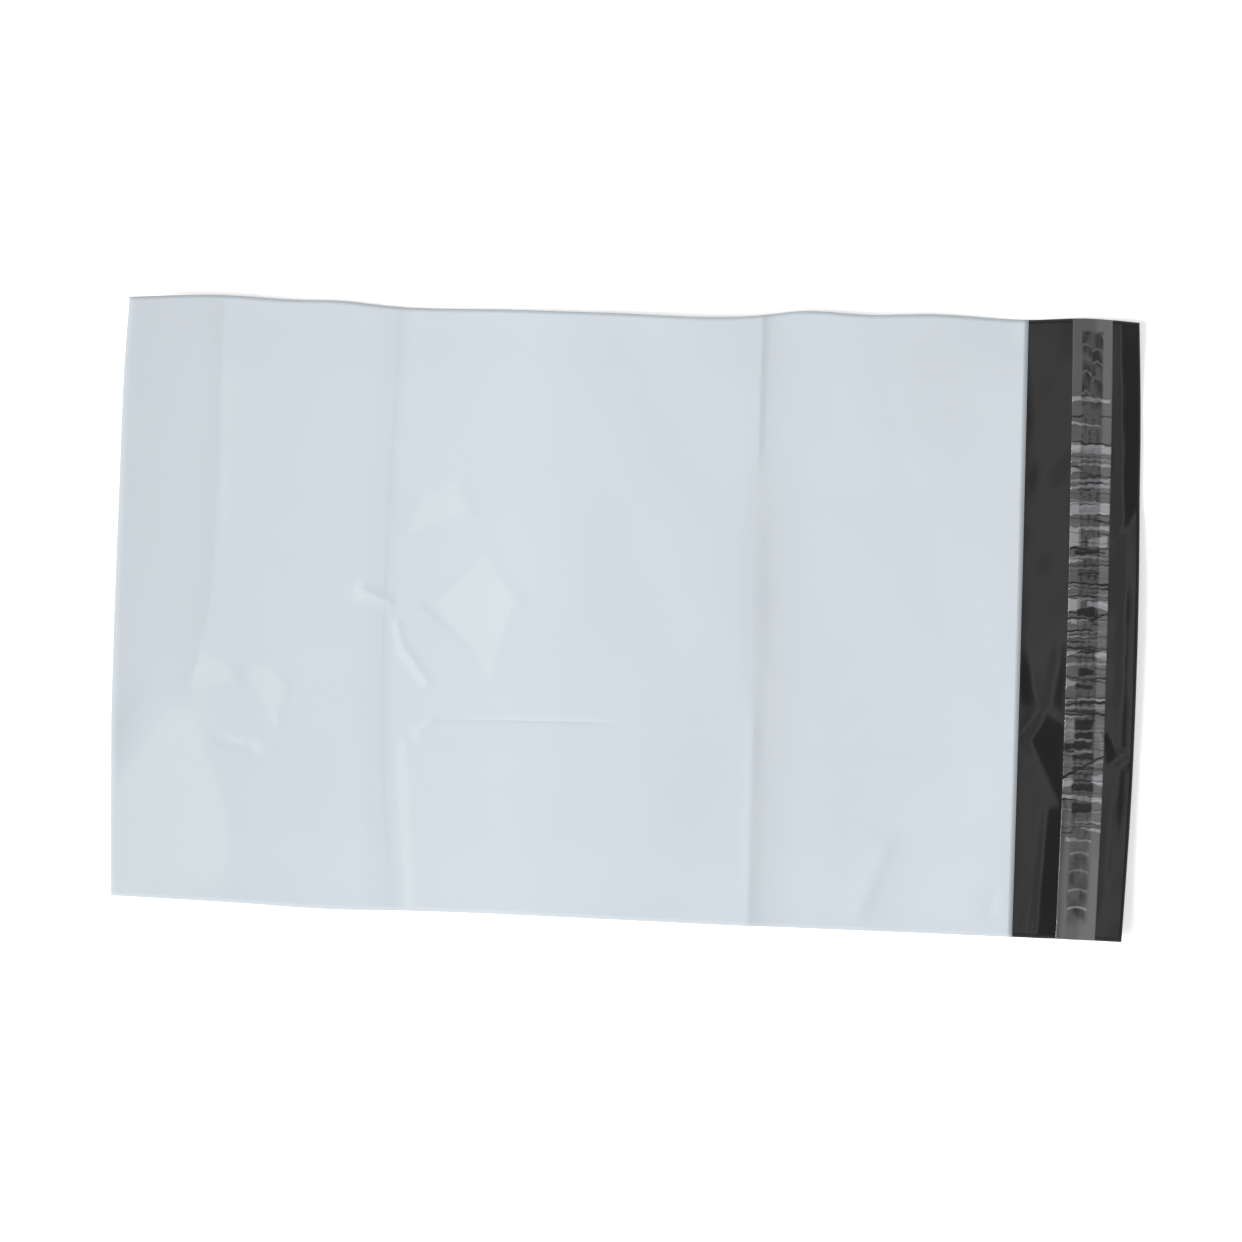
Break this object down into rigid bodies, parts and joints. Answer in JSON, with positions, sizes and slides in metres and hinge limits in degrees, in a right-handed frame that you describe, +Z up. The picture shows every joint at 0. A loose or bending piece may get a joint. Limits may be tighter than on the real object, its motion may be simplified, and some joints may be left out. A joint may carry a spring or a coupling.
{
  "type": "poly mailer bag",
  "caption": "Flat, empty co-extruded film mailer with a bottom fold, welded sides, an open adhesive flap and its release liner.",
  "frame": {"origin": "under the middle of the whole length and width, on the surface that the bag lies on", "axes": "+X along the bag from its bottom fold to the flap's free edge, +Y across it, +Z up out of the front panel"},
  "size_m": [0.47, 0.28, 0.0042],
  "materials": {
    "film": "satin white outside, satin black inside, thin co-extruded polythene",
    "adhesive": "clear glossy hot-melt over black film",
    "release_liner": "thin translucent film, wrinkled"
  },
  "bodies": {
    "root": {"mailer_bag": "film", "adhesive_strip": "adhesive", "release_liner": "release_liner"}
  },
  "joints": []
}
